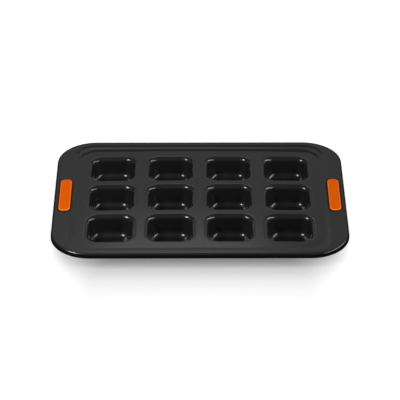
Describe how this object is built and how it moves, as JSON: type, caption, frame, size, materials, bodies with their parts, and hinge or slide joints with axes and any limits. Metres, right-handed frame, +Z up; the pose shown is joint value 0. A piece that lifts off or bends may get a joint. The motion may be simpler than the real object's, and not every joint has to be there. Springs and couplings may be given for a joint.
{
  "type": "brownie pan",
  "caption": "Dark non-stick baking pan with a grid of drawn square cups, a stepped border, a turned-down wired edge and orange silicone grips set into its handle flanges.",
  "frame": {"origin": "centre of the pan's footprint on the surface it stands on, under the cup floors", "axes": "+X along the length from the left grip to the right grip, +Y from the front edge to the back edge, +Z up out of the cups"},
  "size_m": [0.4, 0.297, 0.0346],
  "materials": {
    "coated_steel": "satin dark non-stick coating on pressed steel",
    "wire_steel": "drawn steel wire",
    "silicone": "matt orange silicone"
  },
  "bodies": {
    "root": {"pan_shell": "coated_steel", "rim_wire": "wire_steel", "left_grip": "silicone", "right_grip": "silicone"}
  },
  "joints": []
}
